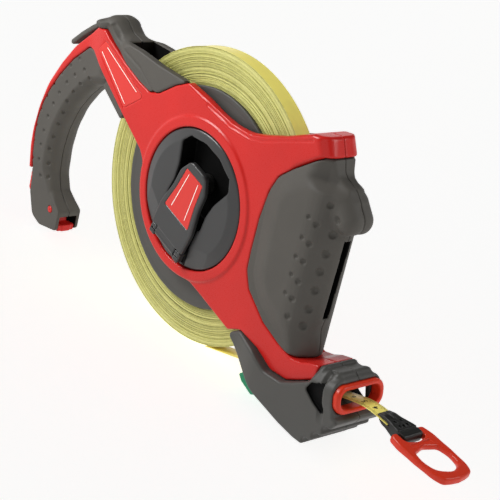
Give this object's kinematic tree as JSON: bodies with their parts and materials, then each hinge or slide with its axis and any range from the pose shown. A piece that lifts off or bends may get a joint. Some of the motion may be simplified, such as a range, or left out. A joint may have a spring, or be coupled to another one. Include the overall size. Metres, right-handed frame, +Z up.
{
  "type": "surveyor tape reel",
  "caption": "Open-frame long tape reel with wound tape, grip handle, fold-out winding crank, guide mouth and hinged pull ring.",
  "frame": {"origin": "centre of the bounding box at floor level, with the reel standing on the wound tape and the foot", "axes": "+X from the handle to the tape mouth, +Y along the drum axis away from the crank side, +Z up"},
  "size_m": [0.4658, 0.047, 0.21],
  "materials": {
    "red_plastic": "semi-gloss moulded red",
    "grey_soft_grip": "matt soft-touch charcoal grey",
    "dark_plastic": "satin dark grey",
    "yellow_tape": "satin coated yellow tape",
    "green_plastic": "semi-gloss green",
    "black_plastic": "satin black",
    "orange_red_plastic": "semi-gloss orange-red",
    "steel": "plated steel",
    "brass": "plain brass",
    "label_plate": "glossy printed plate, no text"
  },
  "bodies": {
    "frame": {"arm_label_far": "label_plate", "arm_label_near": "label_plate", "arm_trim_far": "grey_soft_grip", "arm_trim_near": "grey_soft_grip", "axle": "steel", "axle_screw": "steel", "brake_pin": "steel", "corner_grip_far": "grey_soft_grip", "corner_grip_near": "grey_soft_grip", "far_cover": "dark_plastic", "frame_shell_far": "red_plastic", "frame_shell_near": "red_plastic", "front_grip_far": "grey_soft_grip", "front_grip_near": "grey_soft_grip", "guide_pin_lower": "steel", "guide_pin_upper": "steel", "handle_grip_far": "grey_soft_grip", "handle_grip_near": "grey_soft_grip", "latch_pin": "red_plastic", "mouth_bezel": "orange_red_plastic", "mouth_housing_far": "grey_soft_grip", "mouth_housing_near": "grey_soft_grip", "retaining_screw": "steel", "shell_screw_1": "steel", "shell_screw_2": "steel", "shell_screw_3": "steel", "shell_screw_4": "steel", "shell_screw_5": "steel", "shell_screw_6": "steel", "shell_screw_7": "steel", "shell_screw_8": "steel", "shell_screw_9": "steel", "tape_run": "yellow_tape"},
    "reel": {"drum_core": "dark_plastic", "axle_bush": "brass", "flange_near": "grey_soft_grip", "flange_far": "grey_soft_grip", "tape_pack": "yellow_tape", "crank_disc": "dark_plastic", "crank_hinge_pin": "steel", "disc_screw_1": "steel", "disc_screw_2": "steel", "disc_screw_3": "steel"},
    "crank": {"crank_arm": "dark_plastic", "crank_label": "label_plate", "knob_pin": "steel"},
    "knob": {"crank_knob": "black_plastic"},
    "tape_end": {"tape_lead": "yellow_tape", "end_clip": "black_plastic"},
    "ring": {"pull_ring": "orange_red_plastic", "ring_pin": "steel"},
    "latch": {"latch_lever": "red_plastic"},
    "brake": {"brake_lever": "green_plastic", "brake_pad": "black_plastic"}
  },
  "joints": [
    {"name": "reel_spin", "type": "hinge", "parent": "frame", "child": "reel", "pos_m": [-0.0304, 0.00095, 0.105], "axis": [0, 1, 0], "continuous": true},
    {"name": "crank_fold", "type": "hinge", "parent": "reel", "child": "crank", "pos_m": [-0.04148, -0.02065, 0.06761], "axis": [0.9588, 0, -0.284], "range_deg": [0, 170]},
    {"name": "knob_spin", "type": "hinge", "parent": "crank", "child": "knob", "pos_m": [-0.02671, -0.01305, 0.11746], "axis": [0, 1, 0], "continuous": true},
    {"name": "tape_feed", "type": "slide", "parent": "frame", "child": "tape_end", "axis": [0.9668, 0, 0.2555], "range_m": [-0.015, 0.06]},
    {"name": "ring_swing", "type": "hinge", "parent": "tape_end", "child": "ring", "pos_m": [0.1904, 0.00095, 0.04033], "axis": [0, 1, 0], "range_deg": [-95, 95]},
    {"name": "latch_swing", "type": "hinge", "parent": "frame", "child": "latch", "pos_m": [-0.1924, 0.00095, 0.022], "axis": [0, 1, 0], "range_deg": [0, 6], "stiffness_Nm_per_rad": 0.05, "springref_deg": -2.86},
    {"name": "brake_press", "type": "hinge", "parent": "frame", "child": "brake", "pos_m": [0.0816, 0.00095, 0.015], "axis": [0, 1, 0], "range_deg": [0, 4], "stiffness_Nm_per_rad": 0.05, "springref_deg": -2.86}
  ]
}
